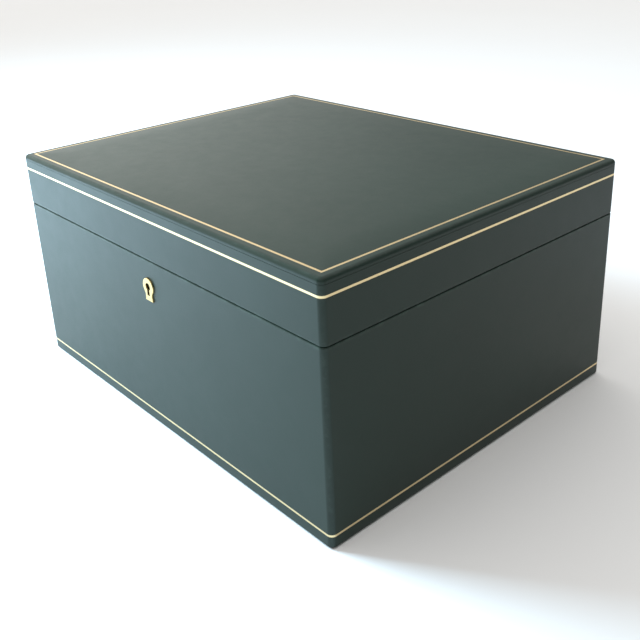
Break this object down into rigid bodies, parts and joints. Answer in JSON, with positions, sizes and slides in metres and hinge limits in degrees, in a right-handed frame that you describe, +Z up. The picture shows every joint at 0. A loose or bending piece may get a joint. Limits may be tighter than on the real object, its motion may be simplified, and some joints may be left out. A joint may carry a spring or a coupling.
{
  "type": "cash box",
  "caption": "Leather-covered wooden box with a hinged lid, tooled gold lines, a brass keyhole plate and a sliding-bolt lock.",
  "frame": {"origin": "middle of the face the box rests on, below the middle of the leather-covered body", "axes": "+X to the right as one faces the keyhole, the keyhole side faces -Y, the hinges are at +Y, +Z up"},
  "size_m": [0.35, 0.2861, 0.172],
  "materials": {
    "leather": "fine-grained calf, dark green, semi-gloss",
    "gold_line": "gold foil tooled into the leather, slightly broken",
    "board": "plain sanded limewood board",
    "base_sheet": "thin suede sheet, nap outwards",
    "lining": "suede-like cloth over card",
    "lining_pad": "suede-like cloth over soft wadding",
    "wadding": "thin cotton wadding",
    "brass": "brushed and lacquered",
    "screw_brass": "polished heads",
    "plate_brass": "polished, edges softened",
    "steel": "bright, lightly oiled"
  },
  "bodies": {
    "case": {"case_front_board": "board", "case_back_board": "board", "case_left_board": "board", "case_right_board": "board", "case_bottom_board": "board", "case_leather": "leather", "foot_gold_line": "gold_line", "base_sheet": "base_sheet", "case_lining_front": "lining", "case_lining_back": "lining", "case_lining_left": "lining", "case_lining_right": "lining", "floor_pad": "lining_pad", "hinge_case_leaves": "brass", "hinge_pins": "brass", "hinge_case_screws": "screw_brass", "escutcheon": "plate_brass", "lock_case": "brass", "lock_cap": "brass", "lock_ward": "brass", "lock_pin": "steel", "lock_spring": "steel", "lock_screws": "screw_brass"},
    "lid": {"lid_front_rail": "board", "lid_back_rail": "board", "lid_left_rail": "board", "lid_right_rail": "board", "lid_top_board": "board", "lid_wadding": "wadding", "lid_top_leather": "leather", "lid_side_leather": "leather", "lid_top_gold_line": "gold_line", "lid_side_gold_line": "gold_line", "lid_lining_front": "lining", "lid_lining_back": "lining", "lid_lining_left": "lining", "lid_lining_right": "lining", "lid_pad": "lining_pad", "hinge_lid_leaves": "brass", "hinge_lid_screws": "screw_brass", "link_plate": "brass", "link_plate_screws": "screw_brass"},
    "bolt": {"lock_bolt": "steel"}
  },
  "joints": [
    {"name": "lid_hinge", "type": "hinge", "parent": "case", "child": "lid", "pos_m": [0, 0.14, 0.1315], "axis": [-1, 0, 0], "range_deg": [0, 97]},
    {"name": "bolt_throw", "type": "slide", "parent": "case", "child": "bolt", "axis": [1, 0, 0], "range_m": [0, 0.0055]}
  ]
}
